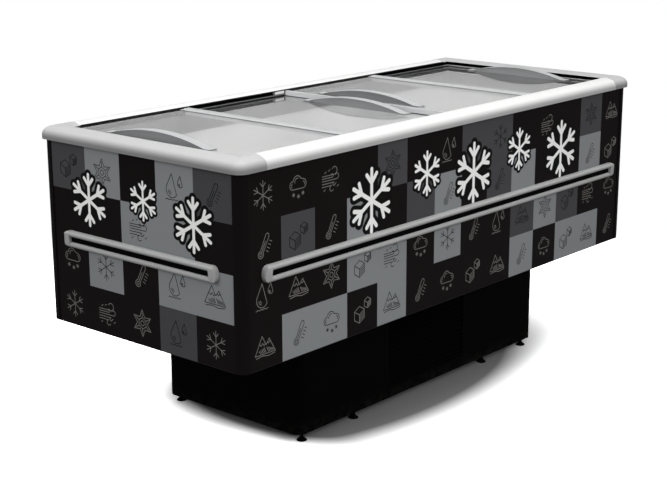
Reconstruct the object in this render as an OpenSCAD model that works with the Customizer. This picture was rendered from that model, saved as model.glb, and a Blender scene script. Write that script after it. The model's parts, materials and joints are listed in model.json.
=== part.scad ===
// Island chest freezer: an insulated tub on a recessed plinth, with a top frame
// that carries four sliding glass lids on two track levels.
// Millimetres. X runs along the tub, -Y is the front, Z is up from the floor.

/* [Tub] */
// Length of the tub over its cladding
tub_length = 1864; // [1500:10:2200]
// Width of the tub over its cladding
tub_width = 760; // [640:2:900]
// Height of the tub's cladding
tub_height = 527; // [420:1:620]
// Wall from the cladding's face to the frame's inner edge
wall = 56; // [50:1:80]
// Thickness of the tub's floor
floor_thickness = 60; // [45:1:90]
// Radius of the foam's upright corners, and width of a corner trim's flaps
tub_corner_r = 28; // [24:1:36]
// How far the corner trims stand out past the cladding
trim_proud = 3; // [1:0.5:5]
// Outer radius of the corner trims
trim_corner_r = 24; // [12:1:30]
// Sheet thickness of cladding and pan
sheet = 1; // [0.8:0.1:1.5]
// Sheet thickness of the liner
liner_sheet = 1; // [0.6:0.1:1.5]
// Radius of the liner's upright corners
liner_corner_r = 22; // [12:1:40]
// Height of the grey collar above the liner
collar_height = 53; // [30:1:80]
// Thickness of the collar
collar_sheet = 3; // [2:0.5:5]

/* [Top frame] */
// Height of the frame
frame_height = 37.5; // [37.5:0.5:48]
// How far the frame stands out past the cladding
frame_overhang = 14; // [8:0.5:20]
// Width of the rounded shoulder
shoulder_width = 44; // [30:1:44]
// Height of the rounded shoulder
shoulder_height = 25.5; // [15:0.5:30]
// Distance from the frame's inner edge to its highest line
crest = 24; // [20:1:26]
// How far the frame falls from its highest line to its inner edge
inner_fall = 6.5; // [3:0.5:7]
// Plan radius of the frame's outer corners
frame_corner_r = 32; // [20:1:54]
// Length of an end cap along the tub, from the frame's end
cap_length = 98; // [90:1:160]
// How far the long profiles lie below the end caps' surface
profile_step = 1; // [0.6:0.1:1.5]
// Wall of the hollow profiles and caps
frame_shell = 3; // [2:0.5:4]
// Length of the spigots that join caps and profiles
spigot_length = 25; // [15:1:40]

/* [Tracks] */
// Depth of a track groove
track_depth = 12; // [11.5:0.5:16]
// Thickness of the black track lining
track_sheet = 1.2; // [0.8:0.1:1.6]
// Rib between the two track levels
rib = 3.3; // [2.5:0.1:4]
// Frame left under the lower track
track_floor = 4; // [3.5:0.5:4.5]
// Running gap above and below a lid's edge
run_gap = 0.3; // [0.25:0.05:0.5]

/* [Lids] */
// Glass thickness
glass = 4; // [3:0.5:5]
// Edge trim above the glass
trim_above = 1.2; // [0.8:0.1:1.6]
// Edge trim below the glass
trim_below = 2.5; // [1.5:0.1:3]
// How far a lid's edge reaches into the frame
bite = 10; // [8:0.5:10.5]
// Lap of the two inner lids at the middle
centre_lap = 8; // [4:1:16]
// Lap of an upper lid over a lower lid
pair_lap = 14; // [8:1:24]
// Travel of each lid
lid_travel = 180; // [100:5:180]
// Width of the ribbed profile where two lids lap
lap_profile = 18; // [14:1:22]
// Width of the flat profile at the handle end
close_profile = 12; // [8:1:18]

/* [Handles] */
// Length over the tabs
handle_length = 406; // [300:2:480]
// Width
handle_width = 30; // [24:1:36]
// Height above the glass
handle_rise = 27.5; // [20:0.5:40]
// Distance from the lid's end to the handle's middle
handle_inset = 38; // [34:1:60]
// Length of the flat tab at each end
tab_length = 20; // [12:1:30]
// Thickness of the tabs and of the arched top
handle_skin = 3.2; // [2:0.2:5]

/* [Bumper rails] */
// Length of the long rails over their end caps
bumper_long = 1722; // [1300:2:1800]
// Length of the short rails over their end caps
bumper_short = 600; // [480:2:680]
// Height of the lower edge above the tub's bottom
bumper_z = 231; // [100:0.5:380]
// Height of the lower bead
bead_low = 15.5; // [10:0.5:22]
// Height of the dark channel
channel_height = 15; // [6:0.5:18]
// Height of the upper bead
bead_high = 16.5; // [12:0.5:30]
// Reach of the lower bead from the cladding
reach_low = 14; // [8:0.5:20]
// Reach of the upper bead from the cladding
reach_high = 18; // [10:0.5:24]
// Depth of the rail's back
rail_back = 5; // [3:0.5:7]
// Length of a rounded end cap
bumper_cap = 25; // [20:1:45]

/* [Plinth] */
// Length of the plinth
plinth_length = 1186; // [1000:2:1400]
// Width of the plinth
plinth_width = 540; // [440:1:620]
// How far the plinth stands behind the middle of the tub
plinth_setback = 10; // [-20:1:30]
// Height of the plinth
plinth_height = 302; // [302:1:380]
// Space under the plinth
ground_gap = 27; // [22:1:45]
// Sheet thickness of the plinth
plinth_sheet = 1.5; // [1:0.1:2]
// Radius of the plinth's upright corners
plinth_corner_r = 30; // [20:1:45]
// Length of the wrap-round ends along the plinth
plinth_wrap = 110; // [80:1:180]
// Width of the air grille
grille_width = 400; // [320:2:480]
// Height of the air grille
grille_height = 248; // [180:2:248]
// Height of the grille above the plinth's lower edge
grille_rise = 27; // [27:1:30]
// Number of louvres
louvres = 15; // [10:1:18]

/* [Base frame and feet] */
// Width of the base channel
channel_width = 40; // [36:1:50]
// Height of the base channel
channel_rise = 25; // [20:1:30]
// Steel thickness of the base
steel = 2; // [1.5:0.5:3]
// Diameter of a foot pad
foot_d = 30; // [24:1:38]
// Height of a foot pad
foot_pad = 9; // [7:1:12]
// Diameter of a foot's threaded stem
stem_d = 10; // [8:1:12]
// Distance from the plinth's face to the feet
foot_depth = 22; // [20:1:30]
// Distance from the plinth's end to the end feet
foot_inset = 36; // [26:1:60]
// Distance from the plinth's end to the middle feet
foot_mid_inset = 265; // [200:1:330]

/* [Refrigeration] */
// Length of the condenser
condenser_length = 300; // [260:2:340]
// Height of the condenser
condenser_height = 200; // [196:2:215]
// Depth of the condenser
condenser_depth = 44; // [40:1:60]
// Diameter of the fan
fan_d = 180; // [140:2:184]
// Number of fan blades
fan_blades = 5; // [4:1:7]
// Diameter of the compressor
compressor_d = 156; // [130:2:170]
// Height of the compressor's shell
compressor_height = 180; // [150:2:200]
// Outer diameter of the refrigerant pipes
pipe_d = 8; // [6:1:10]
// Turns of the evaporator round the liner
evaporator_turns = 8; // [5:1:9]
// Height between two turns
evaporator_pitch = 46; // [36:1:50]
// Width and depth of the evaporator's flat tube
evaporator_tube = [9, 6];
// Inner diameter of the drain
drain_d = 20; // [16:1:26]

/* [Hidden] */
$fn = 48;
eps = 0.01;
fit_gap = 0.3;

// Levels
tub_bottom = ground_gap + plinth_height;
tub_top = tub_bottom + tub_height;
frame_top = tub_top + frame_height;
liner_floor = tub_bottom + floor_thickness;

// Half sizes of the frame's inner edge and of the whole frame
inner_x = tub_length / 2 - wall;
inner_y = tub_width / 2 - wall;
frame_width = wall + frame_overhang;
frame_x = inner_x + frame_width;
frame_y = inner_y + frame_width;

// Half sizes of the liner's inside
liner_x = inner_x + collar_sheet;
liner_y = inner_y + collar_sheet;

// Lid levels, each from the floor of its track
trim_height = trim_below + glass + trim_above;
track_height = trim_height + 2 * run_gap + 2 * track_sheet;
lower_track = tub_top + track_floor;
upper_track = lower_track + track_height + rib;
trim_lift = track_sheet + run_gap;
glass_lift = trim_lift + trim_below;
level_step = upper_track - lower_track;
ridge = 0.8;
runner = bite + 2;

// Lid length, and the four lids: [middle, level, handle side, travel side]
lid_end = inner_x + bite;
lid_length = (lid_end + centre_lap / 2 + pair_lap) / 2;
lid_half_width = inner_y + bite;
outer_mid = lid_end - lid_length / 2;
inner_mid = lid_length / 2 - centre_lap / 2;
left_outer = [-outer_mid, 1, -1];
left_inner = [-inner_mid, 0, 1];
right_inner = [inner_mid, 1, -1];
right_outer = [outer_mid, 0, 1];

// Plinth inside and base frame levels
base_x = plinth_length / 2 - plinth_sheet;
base_y = plinth_width / 2 - plinth_sheet;
base_corner_r = plinth_corner_r - plinth_sheet;
tray_z = ground_gap + channel_rise;
tray_top = tray_z + steel;
foot_y = plinth_width / 2 - foot_depth;
foot_xs = [for (side = [-1, 1], inset = [foot_inset, foot_mid_inset]) side * (plinth_length / 2 - inset)];
cross_x = 190;
tray_x = cross_x + 45;
tray_y = base_y - channel_width;
grille_z = ground_gap + grille_rise;

// Refrigeration set
condenser_y = -tray_y + 12;
shroud_depth = 24;
shroud_ring = 20;
shroud_y = condenser_y + condenser_depth;
fan_z = tray_top + condenser_height / 2;
fan_y = shroud_y + shroud_depth - 2;
fan_depth = 22;
motor_y = fan_y + fan_depth + 6;
motor_length = 52;
motor_d = 74;
shaft_d = 8;
compressor_at = [-95, 95];
mount_height = 14;
terminal = [34, 60, 50];
weld_rim = 4;
drier_at = [105, 20];
drier_length = 110;
drier_d = 24;
drier_neck = 14;
drier_z = tray_top + 70;
drain_at = [380, 60];
coil_rows = 5;
coil_pitch = condenser_height / coil_rows;
coil_inset = 12;
fins = 16;
fin_sheet = 1;
tail_run = 22;
tail_x = [-60, 60];
tail_y = compressor_at[1] + compressor_d / 2 + tail_run;
loop_drop = 30;
tail_rise = 22;

// ---------------------------------------------------------------- shapes

// Points of an elliptic arc about a centre, from angle a0 to a1.
function arc(centre, radii, a0, a1, steps = 10) = [
    for (i = [0 : steps])
        let (a = a0 + (a1 - a0) * i / steps)
            [centre[0] + radii[0] * cos(a), centre[1] + radii[1] * sin(a)]
];

module rounded_rect(half_x, half_y, r) {
    square([2 * (half_x - r), 2 * half_y], center = true);
    square([2 * half_x, 2 * (half_y - r)], center = true);
    for (x = [-1, 1], y = [-1, 1])
        translate([x * (half_x - r), y * (half_y - r)])
            circle(r);
}

// A ring between two rounded rectangles, the inner one smaller by t all round.
module rounded_ring(half_x, half_y, r, t) {
    difference() {
        rounded_rect(half_x, half_y, r);
        rounded_rect(half_x - t, half_y - t, max(r - t, 0.5));
    }
}

module up(z) {
    translate([0, 0, z])
        children();
}

// Moves a piece of the base to the plinth's own middle.
module set_back() {
    translate([0, plinth_setback, 0])
        children();
}

// Child drawn once as it is and once mirrored front to back.
module both_sides() {
    children();
    mirror([0, 1, 0])
        children();
}

// ------------------------------------------------------------------- tub

module foam_outline() {
    rounded_rect(tub_length / 2 - sheet, tub_width / 2 - sheet, tub_corner_r - sheet);
}

module liner_outline(grow = 0) {
    rounded_rect(liner_x + grow, liner_y + grow, liner_corner_r + grow);
}

module tub_liner() {
    color("whitesmoke")
    difference() {
        union() {
            up(liner_floor - liner_sheet)
                linear_extrude(tub_top - liner_floor + liner_sheet)
                    liner_outline(liner_sheet);
            up(tub_top - liner_sheet)
                linear_extrude(liner_sheet)
                    foam_outline();
        }
        up(liner_floor)
            linear_extrude(tub_height)
                liner_outline();
        translate([drain_at[0], drain_at[1], liner_floor - 2 * liner_sheet])
            cylinder(d = drain_d, h = 4 * liner_sheet);
    }
}

module foam_insulation() {
    color("khaki")
    difference() {
        up(tub_bottom + sheet)
            linear_extrude(tub_height - sheet - liner_sheet)
                foam_outline();
        up(liner_floor - liner_sheet)
            linear_extrude(tub_height)
                liner_outline(liner_sheet);
        evaporator_solid();
        translate([drain_at[0], drain_at[1], tub_bottom])
            cylinder(d = drain_d + 4 + 2 * fit_gap, h = floor_thickness);
    }
}

module long_panel() {
    translate([0, -tub_width / 2 + sheet / 2, tub_bottom + sheet + (tub_height - sheet) / 2])
        cube([tub_length - 2 * tub_corner_r, sheet, tub_height - sheet], center = true);
}

module short_panel() {
    translate([-tub_length / 2 + sheet / 2, 0, tub_bottom + sheet + (tub_height - sheet) / 2])
        cube([sheet, tub_width - 2 * tub_corner_r, tub_height - sheet], center = true);
}

module front_panel() {
    color("dimgray")
        long_panel();
}

module back_panel() {
    color("dimgray")
        mirror([0, 1, 0])
            long_panel();
}

module left_panel() {
    color("gray")
        short_panel();
}

module right_panel() {
    color("gray")
        mirror([1, 0, 0])
            short_panel();
}

// Extruded corner strips, a little proud of the cladding on both faces.
module corner_trims() {
    reach = tub_corner_r + trim_proud + 1;
    color([0.09, 0.08, 0.08])
    for (x = [-1, 1], y = [-1, 1])
        scale([x, y, 1])
            up(tub_bottom + sheet)
                linear_extrude(tub_height - sheet)
                    intersection() {
                        difference() {
                            rounded_rect(tub_length / 2 + trim_proud, tub_width / 2 + trim_proud, trim_corner_r);
                            foam_outline();
                        }
                        translate([tub_length / 2 - tub_corner_r, tub_width / 2 - tub_corner_r])
                            square(reach);
                    }
}

module tub_bottom_pan() {
    color("silver")
    difference() {
        up(tub_bottom)
            linear_extrude(sheet)
                rounded_rect(tub_length / 2, tub_width / 2, tub_corner_r);
        translate([drain_at[0], drain_at[1], tub_bottom - 1])
            cylinder(d = drain_d + 4 + 2 * fit_gap, h = sheet + 2);
        for (x = tail_x)
            translate([x, tail_y + plinth_setback, tub_bottom - 1])
                cylinder(d = pipe_d + 4, h = sheet + 2);
    }
}

module inner_collar() {
    color("darkgray")
    up(tub_top - collar_height)
        linear_extrude(collar_height)
            rounded_ring(liner_x, liner_y, liner_corner_r, collar_sheet);
}

// Flat tube wound round the liner, with a step between turns at the back, and
// two tails that run down the back and forward under the liner to the pan.
module evaporator_solid() {
    width = evaporator_tube[0];
    depth = evaporator_tube[1];
    hug_x = liner_x + liner_sheet;
    hug_y = liner_y + liner_sheet;
    first_z = liner_floor + 20;
    top_z = first_z + (evaporator_turns - 1) * evaporator_pitch;
    tail_z = tub_bottom + tail_rise;
    outer_y = hug_y + depth + 2;
    for (turn = [0 : evaporator_turns - 1])
        up(first_z + turn * evaporator_pitch)
            linear_extrude(width)
                rounded_ring(hug_x + depth, hug_y + depth, liner_corner_r + liner_sheet + depth, depth);
    for (turn = [0 : evaporator_turns - 2])
        translate([(turn % 2 == 0 ? -1 : 1) * 160, hug_y, first_z + turn * evaporator_pitch])
            cube([width, depth, evaporator_pitch + width / 2]);
    tail(tail_x[0], hug_y, tail_z, first_z + width / 2);
    tail(tail_x[1], outer_y, tail_z, top_z + width);
    translate([tail_x[1] - width / 2, hug_y, top_z])
        cube([width, outer_y - hug_y + depth, width]);
}

// One tail: down at y from top_z to z, forward over its pipe, then down to the pan.
module tail(x, y, z, top_z) {
    width = evaporator_tube[0];
    depth = evaporator_tube[1];
    pipe_y = tail_y + plinth_setback;
    translate([x - width / 2, y, z])
        cube([width, depth, top_z - z]);
    translate([x - width / 2, pipe_y - depth / 2, z])
        cube([width, y - pipe_y + depth, depth]);
    translate([x - width / 2, pipe_y - depth / 2, tub_bottom + sheet])
        cube([width, depth, z - tub_bottom]);
}

module evaporator_coil() {
    color("peru")
        evaporator_solid();
}

module drain_plug() {
    color("lightgray")
    translate([drain_at[0], drain_at[1], 0]) {
        up(liner_floor)
            cylinder(d = drain_d + 14, h = 3);
        up(liner_floor - 14)
            cylinder(d = drain_d - 2 * fit_gap, h = 14);
    }
}

module drain_pipe() {
    color("gray")
    translate([drain_at[0], drain_at[1], 0])
        difference() {
            up(tub_bottom - 40)
                cylinder(d = drain_d + 4, h = liner_floor - liner_sheet - tub_bottom + 40);
            up(tub_bottom - 41)
                cylinder(d = drain_d, h = floor_thickness + 42);
        }
}

// ----------------------------------------------------------------- frame

// Cross-section of the frame: x outward from the inner edge, y up from the tub.
// step lowers and narrows it, as on the long profiles.
module frame_section(step = 0) {
    width = frame_width - step;
    height = frame_height - step;
    low = track_floor;
    high = track_floor + level_step;
    nose = 1;
    polygon(concat(
        [[0, 0], [width, 0]],
        arc([width - shoulder_width, height - shoulder_height], [shoulder_width, shoulder_height], 0, 90),
        [[crest, height], [nose, height - inner_fall]],
        [[0, height - inner_fall - nose]],
        [[0, high + track_height], [track_depth, high + track_height], [track_depth, high], [0, high]],
        [[0, low + track_height], [track_depth, low + track_height], [track_depth, low], [0, low]]
    ));
}

// Hollow of the frame behind the tracks. inset is the wall left round it, and
// drop opens it downward.
module frame_hollow(step, inset, drop = 0) {
    width = frame_width - step;
    height = frame_height - step;
    inner = track_depth + inset;
    centre = [width - shoulder_width, height - shoulder_height];
    polygon(concat(
        [[inner, inset - drop], [width - inset, inset - drop]],
        arc(centre, [shoulder_width - inset, shoulder_height - inset], 0, 90),
        [[crest, height - inset], [inner, height - inset - inner_fall * (1 - inner / crest)]]
    ));
}

// Extrudes a frame section along +X from x0 to x1, with its outer side to -Y.
module front_run(x0, x1) {
    translate([x0, -inner_y, tub_top])
        rotate([90, 0, 90])
            linear_extrude(x1 - x0)
                mirror([1, 0])
                    children();
}

// Upright prism over a plan outline, tall enough to trim the frame.
module frame_plan(points) {
    up(tub_top - 10)
        linear_extrude(frame_height + 20)
            polygon(points);
}

// Sweeps a frame section round the left end: end run and legs, mitred as far
// as the centre of each corner, then turned round that centre.
module cap_sweep(leg_end) {
    turn_u = frame_width - frame_corner_r;
    centre_x = inner_x + turn_u;
    centre_y = inner_y + turn_u;
    far_x = frame_x + 5;
    far_y = frame_y + 5;
    intersection() {
        translate([-inner_x, centre_y, tub_top])
            rotate([90, 0, 0])
                linear_extrude(2 * centre_y)
                    mirror([1, 0])
                        children();
        frame_plan([
            [-inner_x, -inner_y], [-centre_x, -centre_y], [-far_x, -centre_y],
            [-far_x, centre_y], [-centre_x, centre_y], [-inner_x, inner_y]
        ]);
    }
    both_sides() {
        intersection() {
            front_run(-centre_x - turn_u, -leg_end)
                children();
            frame_plan([
                [-inner_x, -inner_y], [-centre_x, -centre_y], [-centre_x, -far_y],
                [-leg_end, -far_y], [-leg_end, -inner_y]
            ]);
        }
        translate([-centre_x, -centre_y, tub_top])
            rotate([0, 0, 180])
                rotate_extrude(angle = 90)
                    intersection() {
                        translate([-turn_u, 0])
                            children();
                        translate([0, -10])
                            square([frame_corner_r + 1, frame_height + 20]);
                    }
    }
}

module frame_end_cap() {
    leg_end = frame_x - cap_length;
    difference() {
        cap_sweep(leg_end)
            frame_section();
        cap_sweep(leg_end + frame_shell)
            frame_hollow(0, frame_shell, frame_shell + 1);
    }
    both_sides()
        front_run(-leg_end - frame_shell, -leg_end + spigot_length)
            frame_hollow(profile_step, frame_shell + fit_gap);
}

module frame_end_cap_left() {
    color("gainsboro")
        frame_end_cap();
}

module frame_end_cap_right() {
    color("gainsboro")
        mirror([1, 0, 0])
            frame_end_cap();
}

module frame_profile() {
    half = frame_x - cap_length;
    front_run(-half, half)
        difference() {
            frame_section(profile_step);
            frame_hollow(profile_step, frame_shell);
        }
}

module frame_profile_front() {
    color("white")
        frame_profile();
}

module frame_profile_back() {
    color("white")
        mirror([0, 1, 0])
            frame_profile();
}

// Mitred quarter of the ring that fills a track groove; long for the front one.
module track_quarter(long) {
    far_x = inner_x + track_depth;
    far_y = inner_y + track_depth;
    if (long)
        polygon([[-far_x, -far_y], [far_x, -far_y], [inner_x, -inner_y], [-inner_x, -inner_y]]);
    else
        polygon([[-far_x, -far_y], [-inner_x, -inner_y], [-inner_x, inner_y], [-far_x, far_y]]);
}

module track_liner(long) {
    clear_x = inner_x + track_depth - track_sheet;
    clear_y = inner_y + track_depth - track_sheet;
    for (z = [lower_track, upper_track])
        difference() {
            up(z)
                linear_extrude(track_height)
                    track_quarter(long);
            up(z + track_height / 2)
                cube([2 * clear_x, 2 * clear_y, track_height - 2 * track_sheet], center = true);
        }
}

module track_liner_front() {
    color("black")
        track_liner(true);
}

module track_liner_back() {
    color("black")
        mirror([0, 1, 0])
            track_liner(true);
}

module track_liner_left() {
    color("black")
        track_liner(false);
}

module track_liner_right() {
    color("black")
        mirror([1, 0, 0])
            track_liner(false);
}

// Blocks in the tracks that the inner lids close against.
module lid_stop_clips() {
    length = 42;
    gap = 3;
    depth = track_depth - track_sheet;
    height = track_height - 2 * track_sheet;
    near = centre_lap / 2 + gap;
    color("white")
    both_sides() {
        translate([-near - length, -inner_y - depth, upper_track + track_sheet])
            cube([length, depth, height]);
        translate([near, -inner_y - depth, lower_track + track_sheet])
            cube([length, depth, height]);
    }
}

// ------------------------------------------------------------------ lids

function lid_base(lid) = lower_track + lid[1] * level_step;

module glass_solid(lid) {
    margin = 2;
    translate([lid[0], 0, lid_base(lid) + glass_lift + glass / 2])
        cube([lid_length - 2 * margin, 2 * (lid_half_width - margin), glass], center = true);
}

module glass_pane(lid) {
    color([0.75, 0.82, 0.85, 0.4])
        glass_solid(lid);
}

// Section of the profile at the lap: x in from the lid's end, y up from the
// trim's underside. drop is the length of the lip under its end.
module lap_section(drop) {
    top = trim_height;
    lip = 2;
    polygon([
        [0, -drop], [0, top + ridge], [5, top + ridge], [6, top], [lap_profile - 6, top],
        [lap_profile - 5, top + ridge], [lap_profile - 1.5, top + ridge], [lap_profile, top],
        [lap_profile, 0], [lip, 0], [lip, -drop]
    ]);
}

module close_section(drop) {
    lip = 2;
    polygon([
        [0, -drop], [0, trim_height], [close_profile, trim_height],
        [close_profile, 0], [lip, 0], [lip, -drop]
    ]);
}

// Profile across one end of a lid, side telling which end it closes.
module end_profile(lid, side) {
    translate([lid[0] + side * lid_length / 2, 0, lid_base(lid) + trim_lift])
        scale([-side, 1, 1])
            rotate([90, 0, 0])
                linear_extrude(2 * (lid_half_width - runner - fit_gap), center = true)
                    children();
}

// Runners that slide in the tracks, and the profiles across both ends.
module lid_trim(lid) {
    upper = lid[1] == 1;
    inner = abs(lid[0]) < outer_mid - eps;
    hang = level_step - trim_height;
    lap_drop = upper ? hang - ridge - run_gap : 0;
    close_drop = upper && inner ? hang - run_gap : 0;
    color("lightgray")
    difference() {
        union() {
            for (side = [-1, 1])
                translate([
                    lid[0], side * (lid_half_width - runner / 2),
                    lid_base(lid) + trim_lift + trim_height / 2
                ])
                    cube([lid_length, runner, trim_height], center = true);
            end_profile(lid, -lid[2])
                lap_section(lap_drop);
            end_profile(lid, lid[2])
                close_section(close_drop);
        }
        glass_solid(lid);
    }
}

// Side view of the handle's bow, less inset all along its top.
module bow(inset) {
    half = handle_length / 2 - tab_length;
    sag = handle_rise - handle_skin;
    r = (half * half + sag * sag) / (2 * sag);
    intersection() {
        translate([0, handle_rise - r])
            circle(r - inset, $fn = 180);
        translate([-half, 0])
            square([2 * half, handle_rise + 1]);
    }
}

// Moulded bow handle: arched top, two closed sides, ribs inside, flat tabs.
module lid_handle(lid) {
    side = 2.5;
    web_inset = 2;
    half = handle_length / 2 - tab_length;
    place = [lid[0] + lid[2] * (lid_length / 2 - handle_inset), 0, lid_base(lid) + glass_lift + glass];
    color("silver")
    translate(place) {
        rotate([90, 0, 90]) {
            linear_extrude(handle_width, center = true)
                difference() {
                    bow(0);
                    bow(handle_skin);
                }
            for (x = [-1, 1])
                up(x * ((handle_width - side) / 2 - web_inset))
                    linear_extrude(side, center = true)
                        bow(0);
            linear_extrude(handle_width - 2 * web_inset, center = true)
                intersection() {
                    bow(0);
                    for (y = [-half * 0.55, 0, half * 0.55])
                        translate([y, handle_rise / 2])
                            square([side, handle_rise], center = true);
                }
        }
        for (y = [-1, 1])
            translate([0, y * (half + tab_length / 2 - 2), handle_skin / 2])
                cube([handle_width, tab_length + 4, handle_skin], center = true);
    }
}

// --------------------------------------------------------------- bumpers

// Cross-section of a rail: x out from the cladding, y up from its lower edge.
module rail_section() {
    top = bead_low + channel_height + bead_high;
    polygon(concat(
        [[0, 0]],
        arc([rail_back, bead_low / 2], [reach_low - rail_back, bead_low / 2], -90, 90),
        arc([rail_back, top - bead_high / 2], [reach_high - rail_back, bead_high / 2], -90, 90),
        [[0, top]]
    ));
}

module rail_end_section() {
    top = bead_low + channel_height + bead_high;
    polygon(concat(
        [[0, 0]],
        arc([rail_back, bead_low / 2], [reach_low - rail_back, bead_low / 2], -90, 0, 5),
        arc([rail_back, top - bead_high / 2], [reach_high - rail_back, bead_high / 2], 0, 90, 5),
        [[0, top]]
    ));
}

// Extrudes a rail section along +X, centred, on the front cladding.
module rail_run(length) {
    rotate([90, 0, 90])
        linear_extrude(length, center = true)
            mirror([1, 0])
                children();
}

module rail_insert(length) {
    strip = 2;
    rail_run(length)
        translate([rail_back, bead_low])
            square([strip, channel_height]);
}

// Rounded ends of a rail whose overall length is given: the rail's outer form,
// rounded in plan and in elevation.
module rail_ends(length) {
    height = bead_low + channel_height + bead_high;
    round_plan = [13, reach_high - rail_back];
    round_side = [18, height / 2];
    plan = concat(
        [[-1, 1], [-1, -reach_high - 1], [bumper_cap - round_plan[0], -reach_high - 1]],
        arc([bumper_cap - round_plan[0], -rail_back], round_plan + [0, 1], -90, 0),
        [[bumper_cap, 1]]
    );
    side_view = concat(
        [[-1, 0]],
        arc([bumper_cap - round_side[0], height / 2], round_side, -90, 90, 16),
        [[-1, height]]
    );
    for (side = [-1, 1])
        scale([side, 1, 1])
            intersection() {
                translate([length / 2 - bumper_cap / 2, 0, 0])
                    rail_run(bumper_cap)
                        rail_end_section();
                translate([length / 2 - bumper_cap, 0, -1])
                    linear_extrude(height + 2)
                        polygon(plan);
                translate([length / 2 - bumper_cap, 0, 0])
                    rotate([90, 0, 0])
                        linear_extrude(reach_high + 2)
                            polygon(side_view);
            }
}

module on_front() {
    translate([0, -tub_width / 2, tub_bottom + bumper_z])
        children();
}

module on_left() {
    translate([-tub_length / 2, 0, tub_bottom + bumper_z])
        rotate([0, 0, -90])
            children();
}

module bumper_rail_front() {
    color("darkgray")
    on_front()
        rail_run(bumper_long - 2 * bumper_cap)
            rail_section();
}

module bumper_rail_back() {
    color("darkgray")
    mirror([0, 1, 0])
        on_front()
            rail_run(bumper_long - 2 * bumper_cap)
                rail_section();
}

module bumper_rail_left() {
    color("darkgray")
    on_left()
        rail_run(bumper_short - 2 * bumper_cap)
            rail_section();
}

module bumper_rail_right() {
    color("darkgray")
    mirror([1, 0, 0])
        on_left()
            rail_run(bumper_short - 2 * bumper_cap)
                rail_section();
}

module bumper_inserts() {
    color([0.08, 0.08, 0.08]) {
        both_sides()
            on_front()
                rail_insert(bumper_long - 2 * bumper_cap);
        for (side = [1, -1])
            scale([side, 1, 1])
                on_left()
                    rail_insert(bumper_short - 2 * bumper_cap);
    }
}

module bumper_end_caps() {
    color("gray") {
        both_sides()
            on_front()
                rail_ends(bumper_long);
        for (side = [1, -1])
            scale([side, 1, 1])
                on_left()
                    rail_ends(bumper_short);
    }
}

// ---------------------------------------------------------------- plinth

module plinth_end() {
    seam_x = plinth_length / 2 - plinth_wrap;
    up(ground_gap)
        linear_extrude(plinth_height)
            intersection() {
                rounded_ring(plinth_length / 2, plinth_width / 2, plinth_corner_r, plinth_sheet);
                translate([-plinth_length / 2 - 1, -plinth_width])
                    square([plinth_length / 2 - seam_x + 1, 2 * plinth_width]);
            }
}

module plinth_end_left() {
    color([0.05, 0.05, 0.05])
    set_back()
        plinth_end();
}

module plinth_end_right() {
    color([0.05, 0.05, 0.05])
    set_back()
        mirror([1, 0, 0])
            plinth_end();
}

module plinth_panel() {
    span = plinth_length - 2 * plinth_wrap;
    translate([0, -plinth_width / 2 + plinth_sheet / 2, ground_gap + plinth_height / 2])
        difference() {
            cube([span, plinth_sheet, plinth_height], center = true);
            up(grille_z + grille_height / 2 - ground_gap - plinth_height / 2)
                cube([grille_width, 4 * plinth_sheet, grille_height], center = true);
        }
}

module plinth_panel_front() {
    color([0.05, 0.05, 0.05])
    set_back()
        plinth_panel();
}

module plinth_panel_back() {
    color([0.05, 0.05, 0.05])
    set_back()
    difference() {
        mirror([0, 1, 0])
            plinth_panel();
        translate([gland_x(), plinth_width / 2 - 3 * plinth_sheet, gland_z()])
            rotate([-90, 0, 0])
                cylinder(d = 16 + 2 * fit_gap, h = 6 * plinth_sheet);
    }
}

// Louvred grille set into the plinth: rim, slanted slats and a middle mullion.
module grille() {
    depth = 14;
    border = 10;
    slat = 1.6;
    slant = 12;
    lean = 9;
    inner_height = grille_height - 2 * border;
    pitch = inner_height / louvres;
    translate([0, -plinth_width / 2, grille_z]) {
        difference() {
            translate([-grille_width / 2, 0, 0])
                cube([grille_width, depth, grille_height]);
            translate([-grille_width / 2 + border, -1, border])
                cube([grille_width - 2 * border, depth + 2, inner_height]);
        }
        for (i = [0 : louvres - 1])
            up(border + (i + 0.5) * pitch - lean / 2)
                rotate([90, 0, 90])
                    linear_extrude(grille_width - 2 * border + 2 * eps, center = true)
                        polygon([[1, 0], [1 + slant, lean], [1 + slant, lean + slat], [1, slat]]);
        for (x = [-1, 0, 1])
            translate([x * grille_width / 4 - 1.5, depth - 4, border - eps])
                cube([3, 4, inner_height + 2 * eps]);
    }
}

module grille_front() {
    color([0.07, 0.07, 0.07])
    set_back()
        grille();
}

module grille_back() {
    color([0.07, 0.07, 0.07])
    set_back()
        mirror([0, 1, 0])
            grille();
}

function gland_x() = grille_width / 2 + 70;
function gland_z() = ground_gap + 60;

module mains_gland() {
    color([0.1, 0.1, 0.1])
    set_back()
    translate([gland_x(), plinth_width / 2, gland_z()])
        rotate([-90, 0, 0])
            difference() {
                union() {
                    up(-12)
                        cylinder(d = 16, h = 12 + eps);
                    cylinder(d = 26, h = 5, $fn = 6);
                    up(5 - eps)
                        cylinder(d1 = 18, d2 = 14, h = 6, $fn = 48);
                    up(-12)
                        cylinder(d = 22, h = 12 - plinth_sheet, $fn = 6);
                }
                up(-13)
                    cylinder(d = 9, h = 30);
            }
}

// ------------------------------------------------------ base and machine

// Ring channel under the tub: a flat web with an upright flange at each edge.
module ring_channel(z, flange_z) {
    up(z)
        linear_extrude(steel)
            rounded_ring(base_x, base_y, base_corner_r, channel_width);
    up(flange_z)
        linear_extrude(channel_rise)
            rounded_ring(base_x, base_y, base_corner_r, steel);
    up(flange_z)
        linear_extrude(channel_rise)
            rounded_ring(base_x - channel_width + steel, base_y - channel_width + steel, 4, steel);
}

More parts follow.
